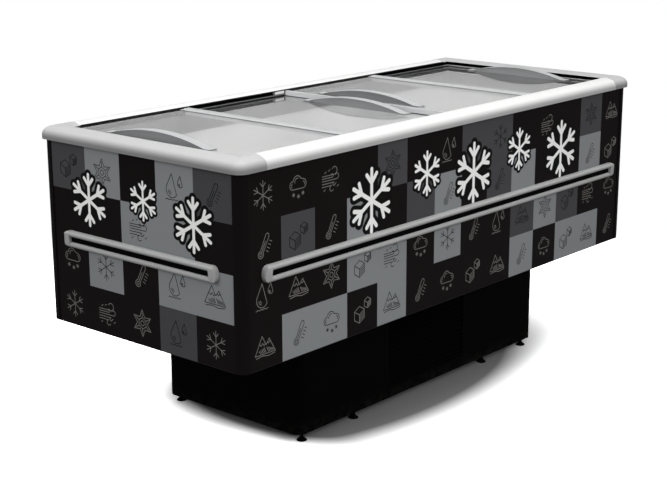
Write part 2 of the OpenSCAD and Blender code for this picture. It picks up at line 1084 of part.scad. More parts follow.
module base_frame() {
    post = 30;
    post_xs = [for (side = [-1, 1], x = [foot_inset + 40, foot_mid_inset]) side * (plinth_length / 2 - x)];
    color("slategray")
    set_back()
    difference() {
        union() {
            ring_channel(ground_gap, ground_gap);
            ring_channel(tub_bottom - steel, tub_bottom - channel_rise);
            for (x = [-cross_x, cross_x])
                translate([x - post / 2, -base_y + channel_width - steel, ground_gap])
                    cube([post, 2 * (base_y - channel_width + steel), channel_rise]);
            both_sides()
                for (x = post_xs)
                    translate([x - post / 2, -base_y, ground_gap])
                        difference() {
                            cube([post, post, plinth_height]);
                            translate([steel, steel, -1])
                                cube([post, post, plinth_height + 2]);
                        }
        }
        for (x = foot_xs, y = [-foot_y, foot_y])
            translate([x, y, ground_gap - 1])
                cylinder(d = stem_d + 2 * fit_gap, h = steel + 2);
    }
}

module levelling_feet() {
    rim = 2;
    color([0.16, 0.16, 0.16])
    set_back()
    for (x = foot_xs, y = [-foot_y, foot_y])
        translate([x, y, 0]) {
            cylinder(d = foot_d, h = rim);
            up(rim)
                cylinder(d1 = foot_d, d2 = stem_d + 6, h = foot_pad - rim);
            up(foot_pad)
                cylinder(d = stem_d, h = ground_gap + steel + 12 - foot_pad);
        }
}

module foot_locknuts() {
    nut_height = 7;
    nut_d = stem_d * 1.9;
    color("darkgray")
    set_back()
    for (x = foot_xs, y = [-foot_y, foot_y])
        translate([x, y, ground_gap - nut_height])
            difference() {
                cylinder(d = nut_d, h = nut_height, $fn = 6);
                up(-1)
                    cylinder(d = stem_d + 0.2, h = nut_height + 2);
            }
}

module machine_tray() {
    lip = 10;
    color("silver")
    set_back()
    up(tray_z)
        difference() {
            translate([-tray_x, -tray_y, 0])
                cube([2 * tray_x, 2 * tray_y, steel + lip]);
            translate([-tray_x + steel, -tray_y + steel, steel])
                cube([2 * (tray_x - steel), 2 * (tray_y - steel), lip + 1]);
        }
}

// Hermetic shell: a welded pot with domed ends on a cross-shaped foot plate.
module compressor() {
    r = compressor_d / 2;
    dome = 46;
    middle = compressor_height / 2;
    foot_z = tray_top + mount_height;
    color([0.12, 0.12, 0.13])
    set_back()
    translate([compressor_at[0], compressor_at[1], 0]) {
        up(foot_z + 3)
            rotate_extrude($fn = 64)
                polygon(concat(
                    [[0, 0]],
                    arc([0, dome * 0.5], [r, dome * 0.5], -60, 0, 6),
                    [[r, middle - weld_rim - 2], [r + weld_rim, middle - weld_rim]],
                    [[r + weld_rim, middle + weld_rim], [r - 1, middle + weld_rim + 2]],
                    arc([0, compressor_height - dome], [r - 1, dome], 0, 90, 8)
                ));
        difference() {
            translate([0, 0, foot_z + 2])
                cube([compressor_d + 40, compressor_d * 0.62, 4], center = true);
            for (x = [-1, 1], y = [-1, 1])
                translate([x * (compressor_d / 2 + 6), y * compressor_d * 0.22, foot_z - 1])
                    cylinder(d = 9, h = 6);
        }
    }
}

module compressor_mounts() {
    color([0.1, 0.1, 0.1])
    set_back()
    for (x = [-1, 1], y = [-1, 1])
        translate([
            compressor_at[0] + x * (compressor_d / 2 + 6),
            compressor_at[1] + y * compressor_d * 0.22, tray_top
        ]) {
            cylinder(d = 22, h = mount_height);
            cylinder(d = 8.4, h = mount_height + 8);
        }
}

// Box for the start relay, on the shell's side.
module terminal_box() {
    face = compressor_at[0] + compressor_d / 2 - 2;
    color("whitesmoke")
    set_back()
    difference() {
        translate([face, compressor_at[1] - terminal[1] / 2, tray_top + mount_height + 34])
            cube(terminal);
        translate([compressor_at[0], compressor_at[1], tray_top])
            cylinder(r = compressor_d / 2 + fit_gap, h = compressor_height, $fn = 64);
    }
}

// Fin block: thin fins on serpentine tubes between two end plates.
module condenser() {
    tube = 9.5;
    plate = 2;
    block = condenser_length - 2 * plate;
    color("silver")
    set_back()
    translate([-condenser_length / 2, condenser_y, tray_top]) {
        for (x = [0, condenser_length - plate])
            translate([x, 0, 0])
                cube([plate, condenser_depth, condenser_height]);
        for (i = [1 : fins])
            translate([plate + i * block / (fins + 1) - fin_sheet / 2, 4, 6])
                cube([fin_sheet, condenser_depth - 8, condenser_height - 12]);
        for (row = [0 : coil_rows - 1], y = [coil_inset, condenser_depth - coil_inset])
            translate([plate / 2, y, (row + 0.5) * coil_pitch])
                rotate([0, 90, 0])
                    cylinder(d = tube, h = condenser_length - plate, $fn = 24);
    }
}

// Box behind the condenser with a ring that the fan turns in.
module fan_shroud() {
    rim = 2;
    width = condenser_length;
    opening = fan_d + 8;
    color([0.1, 0.1, 0.1])
    set_back()
    translate([-width / 2, shroud_y, tray_top])
        difference() {
            union() {
                cube([width, shroud_depth, condenser_height]);
                translate([width / 2, shroud_depth - rim, fan_z - tray_top])
                    rotate([-90, 0, 0])
                        cylinder(d = opening + 2 * rim, h = shroud_ring, $fn = 96);
            }
            translate([rim, -1, rim])
                cube([width - 2 * rim, shroud_depth - rim + 1, condenser_height - 2 * rim]);
            translate([width / 2, -1, fan_z - tray_top])
                rotate([-90, 0, 0])
                    cylinder(d = opening, h = shroud_depth + shroud_ring + 2, $fn = 96);
        }
}

module fan_motor() {
    color([0.2, 0.2, 0.22])
    set_back()
    translate([0, motor_y, fan_z])
        rotate([-90, 0, 0])
            difference() {
                union() {
                    cylinder(d = motor_d, h = motor_length);
                    up(motor_length - eps)
                        cylinder(d1 = motor_d - 8, d2 = motor_d - 28, h = 8);
                }
                up(-1)
                    cylinder(d = shaft_d + 0.2, h = 25);
            }
}

// Cradle under the motor: a foot, a web and a saddle.
module motor_bracket() {
    saddle = 5;
    depth = 30;
    width = motor_d - 14;
    color("silver")
    set_back()
    translate([0, motor_y + 8, tray_top])
        difference() {
            union() {
                translate([-width / 2 - 15, 0, 0])
                    cube([width + 30, depth, 3]);
                translate([-width / 2, depth / 2 - 2, 0])
                    cube([width, 4, fan_z - tray_top - motor_d / 2]);
                translate([-width / 2, 0, fan_z - tray_top - motor_d / 2 - saddle])
                    cube([width, depth, saddle + 12]);
            }
            translate([0, -1, fan_z - tray_top])
                rotate([-90, 0, 0])
                    cylinder(d = motor_d + 2 * fit_gap, h = depth + 2);
        }
}

// Propeller with pitched blades, and the shaft that turns in the motor.
module condenser_fan() {
    hub_d = 48;
    pitch = 28;
    blade = 1.8;
    tip = fan_d / 2;
    color([0.85, 0.85, 0.85])
    set_back()
    translate([0, fan_y, fan_z])
        rotate([-90, 0, 0]) {
            cylinder(d = hub_d, h = fan_depth);
            cylinder(d = shaft_d, h = motor_y - fan_y + 20);
            intersection() {
                for (i = [0 : fan_blades - 1])
                    rotate([0, 0, i * 360 / fan_blades])
                        translate([hub_d / 2 - 3, 0, fan_depth / 2])
                            rotate([pitch, 0, 0])
                                translate([0, -19, -blade / 2])
                                    cube([tip, 38, blade]);
                cylinder(r = tip, h = fan_depth, $fn = 96);
            }
        }
}

module filter_drier() {
    color("peru")
    set_back()
    translate([drier_at[0], drier_at[1], drier_z])
        rotate([-90, 0, 0]) {
            cylinder(d = drier_d, h = drier_length);
            up(-drier_neck)
                cylinder(d1 = pipe_d, d2 = drier_d, h = drier_neck);
            up(drier_length)
                cylinder(d1 = drier_d, d2 = pipe_d, h = drier_neck);
        }
}

// Angles that turn the X, Y and Z axes onto three given unit vectors.
function turn_to(x, y, z) = abs(x[2]) > 0.999
    ? [atan2(-y[0] * x[2], y[1]), -90 * sign(x[2]), 0]
    : [atan2(y[2], z[2]), -asin(x[2]), atan2(x[1], x[0])];

function unit(v) = v / norm(v);

// Pipe through points with square turns, each turn a bend of radius bend.
module bent_pipe(points, d, bend) {
    last = len(points) - 1;
    for (i = [0 : last - 1]) {
        way = unit(points[i + 1] - points[i]);
        start = points[i] + way * (i == 0 ? 0 : bend);
        stop = points[i + 1] - way * (i + 1 == last ? 0 : bend);
        side = abs(way[2]) > 0.5 ? [1, 0, 0] : [0, 0, 1];
        translate(start)
            rotate(turn_to(cross(side, way), side, way))
                pipe_length(d, norm(stop - start));
    }
    for (i = [1 : last - 1]) {
        a = unit(points[i] - points[i - 1]);
        b = unit(points[i + 1] - points[i]);
        translate(points[i] - a * bend + b * bend)
            rotate(turn_to(-b, a, cross(-b, a)))
                rotate_extrude(angle = 90)
                    translate([bend, 0])
                        circle(d = d, $fn = 24);
    }
}

module pipe_length(d, length) {
    cylinder(d = d, h = length, $fn = 24);
}

module refrigerant_pipes() {
    bend = 14;
    shell_x = compressor_at[0];
    shell_y = compressor_at[1];
    shell_r = compressor_d / 2;
    pipe_z = tray_top + mount_height + 60;
    coil_x = condenser_length / 2;
    coil_top = tray_top + (coil_rows - 0.5) * coil_pitch;
    coil_low = tray_top + 0.5 * coil_pitch;
    coil_y = condenser_y + coil_inset;
    drier_end = drier_at[1] + drier_length + drier_neck;
    pan = tub_bottom + sheet;
    color("peru")
    set_back() {
        bent_pipe([
            [shell_x - shell_r, shell_y, pipe_z],
            [-tray_x + 20, shell_y, pipe_z],
            [-tray_x + 20, coil_y, pipe_z],
            [-tray_x + 20, coil_y, coil_top],
            [-coil_x, coil_y, coil_top]
        ], pipe_d, bend);
        bent_pipe([
            [coil_x, coil_y, coil_low],
            [coil_x + 40, coil_y, coil_low],
            [coil_x + 40, drier_at[1] - 60, coil_low],
            [drier_at[0], drier_at[1] - 60, coil_low],
            [drier_at[0], drier_at[1] - 60, drier_z],
            [drier_at[0], drier_at[1] - drier_neck, drier_z]
        ], pipe_d, bend);
        bent_pipe([
            [drier_at[0], drier_end, drier_z],
            [drier_at[0], tail_y, drier_z],
            [drier_at[0], tail_y, tub_bottom - 2 * loop_drop],
            [tail_x[1], tail_y, tub_bottom - 2 * loop_drop],
            [tail_x[1], tail_y, pan]
        ], pipe_d, bend);
        bent_pipe([
            [shell_x, shell_y + shell_r, pipe_z],
            [shell_x, tail_y, pipe_z],
            [shell_x, tail_y, tub_bottom - loop_drop],
            [tail_x[0], tail_y, tub_bottom - loop_drop],
            [tail_x[0], tail_y, pan]
        ], pipe_d, bend);
    }
}

// ------------------------------------------------------------------ draw

tub_liner();
foam_insulation();
front_panel();
back_panel();
left_panel();
right_panel();
corner_trims();
tub_bottom_pan();
inner_collar();
evaporator_coil();
drain_plug();
drain_pipe();
frame_end_cap_left();
frame_end_cap_right();
frame_profile_front();
frame_profile_back();
track_liner_front();
track_liner_back();
track_liner_left();
track_liner_right();
lid_stop_clips();
bumper_rail_front();
bumper_rail_back();
bumper_rail_left();
bumper_rail_right();
bumper_inserts();
bumper_end_caps();
plinth_end_left();
plinth_end_right();
plinth_panel_front();
plinth_panel_back();
grille_front();
grille_back();
base_frame();
levelling_feet();
foot_locknuts();
machine_tray();
compressor();
compressor_mounts();
terminal_box();
condenser();
fan_shroud();
fan_motor();
motor_bracket();
condenser_fan();
filter_drier();
refrigerant_pipes();
mains_gland();
glass_pane(left_outer);  // glass_left_outer
lid_trim(left_outer);  // trim_left_outer
lid_handle(left_outer);  // handle_left_outer
glass_pane(left_inner);  // glass_left_inner
lid_trim(left_inner);  // trim_left_inner
lid_handle(left_inner);  // handle_left_inner
glass_pane(right_inner);  // glass_right_inner
lid_trim(right_inner);  // trim_right_inner
lid_handle(right_inner);  // handle_right_inner
glass_pane(right_outer);  // glass_right_outer
lid_trim(right_outer);  // trim_right_outer
lid_handle(right_outer);  // handle_right_outer
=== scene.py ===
import json
import math

import bmesh
import bpy
from mathutils import Matrix, Vector

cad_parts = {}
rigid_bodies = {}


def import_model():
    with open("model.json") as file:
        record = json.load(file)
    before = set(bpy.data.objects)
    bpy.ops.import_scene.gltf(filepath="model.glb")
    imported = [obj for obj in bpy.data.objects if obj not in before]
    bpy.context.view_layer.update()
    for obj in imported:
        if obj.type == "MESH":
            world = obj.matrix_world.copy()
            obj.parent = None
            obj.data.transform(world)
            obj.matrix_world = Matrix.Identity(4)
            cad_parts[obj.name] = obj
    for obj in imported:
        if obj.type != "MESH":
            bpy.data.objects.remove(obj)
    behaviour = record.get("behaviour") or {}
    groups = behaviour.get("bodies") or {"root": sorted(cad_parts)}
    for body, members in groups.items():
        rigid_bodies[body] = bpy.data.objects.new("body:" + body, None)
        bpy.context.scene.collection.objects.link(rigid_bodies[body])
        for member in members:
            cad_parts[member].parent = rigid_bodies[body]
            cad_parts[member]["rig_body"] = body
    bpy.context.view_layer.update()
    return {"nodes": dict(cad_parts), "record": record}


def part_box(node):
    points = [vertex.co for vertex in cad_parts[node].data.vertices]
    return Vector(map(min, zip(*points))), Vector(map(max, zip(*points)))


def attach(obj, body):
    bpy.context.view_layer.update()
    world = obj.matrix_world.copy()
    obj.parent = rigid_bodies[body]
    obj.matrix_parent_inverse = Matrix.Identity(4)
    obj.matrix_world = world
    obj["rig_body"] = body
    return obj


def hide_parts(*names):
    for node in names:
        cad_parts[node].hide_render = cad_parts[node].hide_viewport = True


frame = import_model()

NODES = frame["nodes"]
MM = 0.001
X, Y, Z = range(3)


def rgb(red, green, blue):
    """A screen colour, 0 to 255, as the linear colour that the shaders use."""
    def linear(value):
        share = value / 255
        return share / 12.92 if share <= 0.04045 else ((share + 0.055) / 1.055) ** 2.4
    return (linear(red), linear(green), linear(blue), 1.0)


def grey(level):
    """A linear grey."""
    return (level, level, level, 1)


# ------------------------------------------------------------------ camera

# Place in metres, then sensor and lens in millimetres, then angles in degrees.
CAMERA_PLACE = (-3.4651, -2.8745, 1.6177)
SENSOR_WIDTH, LENS = 36, 79.42
HEADING, LOOK_DOWN, ROLL = -49.151, 15.052, -0.144


def add_camera():
    """Three-quarter view from the front left, a little above the lids."""
    data = bpy.data.cameras.new("camera")
    data.sensor_width = SENSOR_WIDTH
    data.lens = LENS
    camera = bpy.data.objects.new("camera", data)
    bpy.context.scene.collection.objects.link(camera)
    heading = Matrix.Rotation(math.radians(HEADING), 4, "Z")
    tilt = Matrix.Rotation(math.radians(90 - LOOK_DOWN), 4, "X")
    roll = Matrix.Rotation(math.radians(ROLL), 4, "Z")
    camera.matrix_world = Matrix.Translation(CAMERA_PLACE) @ heading @ tilt @ roll
    bpy.context.scene.camera = camera


add_camera()


# ------------------------------------------------------------------ shader maths

class Value:
    """The output of a shader node. Expressions on it add Math nodes."""

    def __init__(self, shader, socket):
        self.shader = shader
        self.socket = socket

    def _math(self, operation, *others):
        return self.shader.node("ShaderNodeMath", {"operation": operation}, others)

    def __add__(self, other):
        return self._math("ADD", self, other)

    def __sub__(self, other):
        return self._math("SUBTRACT", self, other)

    def __mul__(self, other):
        return self._math("MULTIPLY", self, other)

    def __truediv__(self, other):
        return self._math("DIVIDE", self, other)

    def __gt__(self, other):
        return self._math("GREATER_THAN", self, other)

    def __lt__(self, other):
        return self._math("LESS_THAN", self, other)

    def __rsub__(self, other):
        return self._math("SUBTRACT", other, self)

    __radd__ = __add__
    __rmul__ = __mul__

    def __abs__(self):
        return self._math("ABSOLUTE", self)

    def floor(self):
        return self._math("FLOOR", self)

    def fraction(self):
        return self._math("FRACT", self)

    def at_least(self, other):
        return self._math("MAXIMUM", self, other)

    def between(self, low, high):
        """0 below low, 1 above high, even in between."""
        settings = {"clamp": True}
        return self.shader.node("ShaderNodeMapRange", settings, {0: self, 1: low, 2: high})


class NodeTree:
    """The nodes of a material or of the world, all made by one method."""

    def __init__(self, owner):
        owner.use_nodes = True
        self.tree = owner.node_tree
        self.tree.nodes.clear()

    def node(self, kind, settings=None, inputs=(), output=0):
        """Adds a node: its settings first, then the values or links of its sockets."""
        made = self.tree.nodes.new(kind)
        for key, value in (settings or {}).items():
            setattr(made, key, value)
        pairs = inputs.items() if isinstance(inputs, dict) else enumerate(inputs)
        for key, value in pairs:
            if isinstance(value, Value):
                self.tree.links.new(value.socket, made.inputs[key])
            else:
                made.inputs[key].default_value = value
        return Value(self, made.outputs[output]) if made.outputs else None


class Shader(NodeTree):
    """A new material with the node patterns that the finishes share."""

    def __init__(self, name):
        self.material = bpy.data.materials.new(name)
        super().__init__(self.material)
        self.place = self.node("ShaderNodeTexCoord", output="Object")

    def axes(self):
        """The object's own X, Y and Z as three values."""
        return [self.node("ShaderNodeSeparateXYZ", None, {0: self.place}, axis)
                for axis in range(3)]

    def facing(self, axis):
        """How far a face looks along an axis: 1 towards it and -1 away from it."""
        normal = self.node("ShaderNodeTexCoord", output="Normal")
        return self.node("ShaderNodeSeparateXYZ", None, {0: normal}, axis)

    def noise(self, scale, detail=3.0, stretch=(1, 1, 1), roughness=0.5):
        """Cloudy values from 0 to 1. stretch multiplies the scale along each axis."""
        place = self.node("ShaderNodeMapping", None, {"Vector": self.place, "Scale": stretch})
        inputs = {"Vector": place, "Scale": scale, "Detail": detail, "Roughness": roughness}
        return self.node("ShaderNodeTexNoise", None, inputs)

    def mix(self, share, low, high):
        """A colour between low and high."""
        settings = {"data_type": "RGBA"}
        return self.node("ShaderNodeMix", settings, {"Factor": share, 6: low, 7: high}, output=2)

    def bump(self, height, distance, strength=1.0):
        inputs = {"Height": height, "Distance": distance, "Strength": strength}
        return self.node("ShaderNodeBump", None, inputs, output="Normal")

    def surface(self, **sockets):
        """The Principled shader. Underscores in a socket's name stand for spaces."""
        inputs = {key.replace("_", " "): value for key, value in sockets.items()}
        return self.node("ShaderNodeBsdfPrincipled", None, inputs)

    def done(self, shader):
        self.node("ShaderNodeOutputMaterial", None, {"Surface": shader})
        return self.material


def shade(colour, factor):
    """A colour made darker or lighter."""
    return tuple(min(1.0, part * factor) for part in colour[:3]) + (1.0,)


# ------------------------------------------------------------------ finishes

# Scale, detail and stretch of the die lines on an extrusion.
DIE_LINES_ALONG_X = (420, 2, (0.02, 1, 1))
DIE_LINES_ALONG_Y = (420, 2, (1, 0.02, 1))


def moulded(name, colour, roughness, grain=900, gloss=0.5):
    """Moulded plastic: a fine eroded grain, faint flow clouds and uneven gloss."""
    s = Shader(name)
    clouds = s.noise(5, 4)
    fine = s.noise(grain, 2)
    tone = s.mix(clouds, shade(colour, 0.93), shade(colour, 1.05))
    return s.done(s.surface(
        Base_Color=tone,
        Roughness=roughness - 0.05 + 0.12 * s.noise(60, 3),
        Specular_IOR_Level=gloss,
        Normal=s.bump(fine, 0.06 * MM),
    ))


def extruded(name, colour, roughness):
    """An extruded profile: die lines along X under a smooth gloss, with painted light:
    paler on faces that look up and painted shade on faces that look down."""
    s = Shader(name)
    lines = s.noise(*DIE_LINES_ALONG_X)
    clouds = s.noise(3.5, 3)
    tone = s.mix(clouds, shade(colour, 0.95), shade(colour, 1.03))
    # Painted light: faces that look up are paler, faces that look down carry painted shade.
    lit_top = s.mix(s.facing(Z).between(0.1, 0.9), tone, shade(colour, 1.35))
    tone = s.mix(s.facing(Z).between(-0.9, -0.1), shade(colour, 0.6), lit_top)
    return s.done(s.surface(
        Base_Color=tone,
        Roughness=roughness + 0.08 * lines + 0.04 * clouds,
        Specular_IOR_Level=0.3,
        Normal=s.bump(lines, 0.03 * MM),
    ))


# The long profiles' inner sides are nearer to the middle than this. They are
# pale below the tracks and on the ridge between the two tracks.
PROFILE_INSIDE = 327.5 * MM
LIP_TOP = 862 * MM
RIDGE_MIDDLE = 873.5 * MM
RIDGE_HALF = 2.5 * MM


def roll_lit_share(z):
    """How high a point lies on the rolled rim of the top frame: 0 on the
    underside and 1 on top. The finishes paint shade where it is low."""
    low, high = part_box("frame_profile_front")
    return ((z - low.z) / (high.z - low.z)).between(0.2, 0.75)


def end_cap_plastic():
    """Grey moulding with painted shade on the underside of its roll."""
    s = Shader("grey_end_cap")
    tone = s.mix(s.noise(5, 4), rgb(198, 198, 198), rgb(206, 206, 206))
    return s.done(s.surface(
        # Painted shade: the underside of the roll is a darker grey.
        Base_Color=s.mix(roll_lit_share(s.axes()[2]), rgb(132, 132, 132), tone),
        Roughness=0.35 + 0.12 * s.noise(60, 3),
        Specular_IOR_Level=0.3,
        Normal=s.bump(s.noise(700, 2), 0.06 * MM),
    ))


def top_profile():
    """White profile of the long sides, with painted shade on the underside of its roll.
    Its inner side is black, with grey on the lip and the ridge."""
    s = Shader("white_top_profile")
    y, z = s.axes()[1:]
    lines = s.noise(*DIE_LINES_ALONG_X)
    clouds = s.noise(3.5, 3)
    white = s.mix(clouds, rgb(240, 240, 239), rgb(248, 248, 247))
    # Painted shade: the underside of the roll is grey.
    shaded_outside = s.mix(roll_lit_share(z), rgb(172, 172, 172), white)
    pale = (z < LIP_TOP) + (abs(z - RIDGE_MIDDLE) < RIDGE_HALF)
    inside = s.mix(pale, rgb(12, 12, 12), rgb(112, 113, 114))
    return s.done(s.surface(
        Base_Color=s.mix(abs(y) < PROFILE_INSIDE, shaded_outside, inside),
        Roughness=0.3 + 0.08 * lines + 0.04 * clouds,
        Specular_IOR_Level=0.3,
        Normal=s.bump(lines, 0.03 * MM),
    ))


def painted_sheet(name, colour, roughness, gloss):
    """Powder-coated steel: orange peel, soft clouds and a trace of dust at the foot."""
    s = Shader(name)
    peel = s.noise(260, 2)
    clouds = s.noise(4, 4)
    rise = s.axes()[2]
    dust = (1.0 - rise.between(0.03, 0.07)) * s.noise(60, 5).between(0.4, 0.8) * 0.05
    tone = s.mix(clouds, shade(colour, 0.85), shade(colour, 1.15))
    return s.done(s.surface(
        Base_Color=s.mix(dust, tone, rgb(120, 116, 110)),
        Roughness=roughness + 0.1 * s.noise(30, 4),
        Specular_IOR_Level=gloss,
        Normal=s.bump(peel, 0.05 * MM),
    ))


def galvanised_steel():
    """Zinc spangle in patches of two greys."""
    s = Shader("galvanised_steel")
    cells = {"Vector": s.place, "Scale": 90.0}
    spangle = s.node("ShaderNodeTexVoronoi", None, cells, output="Color")
    patch = s.node("ShaderNodeSeparateColor", None, {0: spangle})
    return s.done(s.surface(
        Base_Color=s.mix(patch, rgb(150, 153, 156), rgb(186, 188, 190)),
        Metallic=0.9,
        Roughness=0.38 + 0.16 * patch,
        Normal=s.bump(s.noise(120, 3), 0.03 * MM),
    ))


def bottom_pan():
    """Galvanised sheet, painted black on its outer edge."""
    s = Shader("bottom_pan")
    x, y = s.axes()[:2]
    painted_from = (931.5 * MM, 379.5 * MM)
    edge = (abs(x) > painted_from[X]) + (abs(y) > painted_from[Y])
    zinc = s.mix(s.noise(60, 2), rgb(150, 153, 156), rgb(186, 188, 190))
    return s.done(s.surface(
        Base_Color=s.mix(edge, zinc, rgb(8, 8, 8)),
        Metallic=0.9 * (1.0 - edge),
        Roughness=0.4 + 0.12 * s.noise(60, 2),
        Normal=s.bump(s.noise(120, 3), 0.03 * MM),
    ))


def liner_sheet(name, low_tone, high_tone):
    """Pre-painted aluminium sheet with a fine stucco emboss and light handling haze."""
    s = Shader(name)
    stucco = s.noise(190, 2, roughness=0.6)
    haze = s.noise(3, 5)
    return s.done(s.surface(
        Base_Color=s.mix(haze, low_tone, high_tone),
        Roughness=0.42 + 0.12 * s.noise(18, 4),
        Normal=s.bump(stucco, 0.05 * MM),
    ))


def rubber(name, colour):
    """Matt rubber with a patchy bloom."""
    s = Shader(name)
    bloom = s.noise(35, 5).between(0.45, 0.8)
    return s.done(s.surface(
        Base_Color=s.mix(bloom, colour, shade(colour, 2.2)),
        Roughness=0.78 + 0.12 * bloom,
        Normal=s.bump(s.noise(500, 3), 0.08 * MM),
    ))


def copper_tube():
    """Drawn copper, bright with brown tarnish."""
    s = Shader("copper_tube")
    tarnish = s.noise(24, 5).between(0.4, 0.75)
    return s.done(s.surface(
        Base_Color=s.mix(tarnish, rgb(196, 118, 82), rgb(110, 66, 48)),
        Metallic=1.0,
        Roughness=0.24 + 0.3 * tarnish,
        Normal=s.bump(s.noise(300, 2), 0.02 * MM),
    ))


def fin_stack():
    """Aluminium fins at a fine pitch between the modelled plates, with painted highlights
    on their edges and painted shade between them.
    """
    s = Shader("fin_stack")
    across = s.axes()[0]
    edge = abs((across * 420).fraction() - 0.5) * 2.0
    return s.done(s.surface(
        # Painted highlight on each fin's edge, painted shade between the fins.
        Base_Color=s.mix(edge, rgb(120, 122, 124), rgb(196, 199, 202)),
        Metallic=0.85,
        Roughness=0.32 + 0.15 * s.noise(40, 3),
        Normal=s.bump(edge, 0.3 * MM, 0.6),
    ))


def compressor_enamel():
    """Thick black enamel over a pressed and welded shell."""
    s = Shader("compressor_enamel")
    runs = s.noise(14, 4, (1, 1, 0.3))
    return s.done(s.surface(
        Base_Color=s.mix(runs, rgb(16, 16, 17), rgb(30, 30, 31)),
        Roughness=0.24 + 0.18 * runs,
        Coat_Weight=0.4,
        Coat_Roughness=0.1,
        Normal=s.bump(s.noise(90, 3), 0.12 * MM),
    ))


def insulation_foam():
    """Cut polyurethane foam: open cells and uneven yellow."""
    s = Shader("insulation_foam")
    cells = s.node("ShaderNodeTexVoronoi", None, {"Vector": s.place, "Scale": 700.0})
    return s.done(s.surface(
        Base_Color=s.mix(s.noise(9, 4), rgb(214, 190, 128), rgb(236, 218, 164)),
        Roughness=0.9,
        Normal=s.bump(cells, 0.4 * MM),
    ))


def lid_glass():
    """Clear tempered glass. Light for the shadows passes straight through."""
    s = Shader("lid_glass")
    smear = s.noise(6, 4, (1, 0.3, 1)).between(0.35, 0.9)
    glass = s.surface(
        Base_Color=rgb(250, 250, 250),
        Roughness=0.012 + 0.05 * smear,
        Transmission_Weight=1.0,
        IOR=1.45,
    )
    clear = s.node("ShaderNodeBsdfTransparent", None, {0: rgb(250, 250, 250)})
    shadow_ray = s.node("ShaderNodeLightPath", output="Is Shadow Ray")
    return s.done(s.node("ShaderNodeMixShader", None, {0: shadow_ray, 1: glass, 2: clear}))


# A lid's profile: where its black runners begin, where the bead of its closing
# end and the dark line of its lap lie, and half the widths of such lines.
RUNNER = 321.5 * MM
CLOSE_PROFILE = 12 * MM
LAP_LINE = 9 * MM
LAP_PROFILE = 18 * MM
HALF_BEAD = 0.9 * MM
HALF_LAP_LINE = 1.3 * MM


def edge_profile(name, beads, lap_lines):
    """Pale extrusion round a lid: black runners at the sides, a thin black glazing
    bead at some X and a thin dark line at others."""
    s = Shader(name)
    x, y = s.axes()[:2]
    lines = s.noise(*DIE_LINES_ALONG_Y)
    dark = abs(y) > RUNNER
    for bead in beads:
        dark = dark + (abs(x - bead) < HALF_BEAD)
    for lap_line in lap_lines:
        dark = dark + (abs(x - lap_line) < HALF_LAP_LINE)
    tone = s.mix(s.noise(3.5, 3), rgb(202, 203, 204), rgb(212, 213, 214))
    return s.done(s.surface(
        Base_Color=s.mix(dark.between(0, 1), tone, rgb(26, 26, 27)),
        Roughness=0.34 + 0.08 * lines,
        Specular_IOR_Level=0.3,
        Normal=s.bump(lines, 0.03 * MM),
    ))


def handle_plastic():
    """Pale grey moulding: faces that look up are pale, the web has painted shade."""
    s = Shader("handle_plastic")
    # Painted shade: all but the faces that look up are a darker grey.
    top = s.facing(Z).between(0.3, 0.5)
    return s.done(s.surface(
        Base_Color=s.mix(top, rgb(134, 135, 136), rgb(196, 197, 198)),
        Roughness=0.38 + 0.12 * s.noise(50, 3),
        Specular_IOR_Level=0.3,
        Normal=s.bump(s.noise(800, 2), 0.05 * MM),
    ))


# The tiles of the print: their widths on the long sides and the ends, their
# height, and the top of the first row.
TILE_LONG = 130.9 * MM
TILE_END = 141 * MM
TILE_RISE = 132.4 * MM
ROW_TOP = 856 * MM
ROWS = 4
TILES_LONG = 14
TILES_END = 5


# The lot of a tile, from 0 to 1, from which it is dark grey and mid grey.
DARK_FROM = 0.5
MID_FROM = 0.69


def tile_tones(s, black, dark, mid):
    """One of three colours for each tile of the print, drawn by lot: half of them
    black, and a fifth dark. The end columns of the long sides are black."""
    x, y, z = s.axes()
    on_end = abs(s.facing(X)) > 0.5
    long_column = (x / TILE_LONG).floor() * (1.0 - on_end)
    column = long_column + (y / TILE_END + 0.5).floor() * on_end
    row = ((ROW_TOP - z) / TILE_RISE).floor()
    cell = s.node("ShaderNodeCombineXYZ", None, (column, row, on_end * 7.0))
    lot = s.node("ShaderNodeTexWhiteNoise", {"noise_dimensions": "3D"}, {"Vector": cell})
    end_column = (abs(column + 0.5) > TILES_LONG / 2 - 1) * (1.0 - on_end)
    pick = lot * (1.0 - end_column)
    return s.mix(pick > MID_FROM, s.mix(pick > DARK_FROM, black, dark), mid)


def printed_cladding():
    """Laminated print of black, dark grey and mid grey tiles."""
    s = Shader("printed_cladding")
    tone = tile_tones(s, rgb(17, 13, 13), rgb(71, 71, 73), rgb(134, 137, 139))
    return s.done(s.surface(
        Base_Color=s.mix(s.noise(7, 4) * 0.02, tone, rgb(90, 90, 92)),
        Roughness=0.42 + 0.08 * s.noise(25, 3),
        Specular_IOR_Level=0.06,
        Normal=s.bump(s.noise(150, 2), 0.03 * MM),
    ))


def ink(name, on_black, on_dark, on_grey):
    """Printing ink with a slightly broken tone, in a colour for each kind of tile."""
    s = Shader(name)
    film = s.noise(300, 2)
    tone = tile_tones(s, on_black, on_dark, on_grey)
    return s.done(s.surface(
        Base_Color=s.mix(film * 0.15, tone, rgb(60, 60, 60)),
        Roughness=0.42 + 0.06 * film,
        Specular_IOR_Level=0.06,
    ))


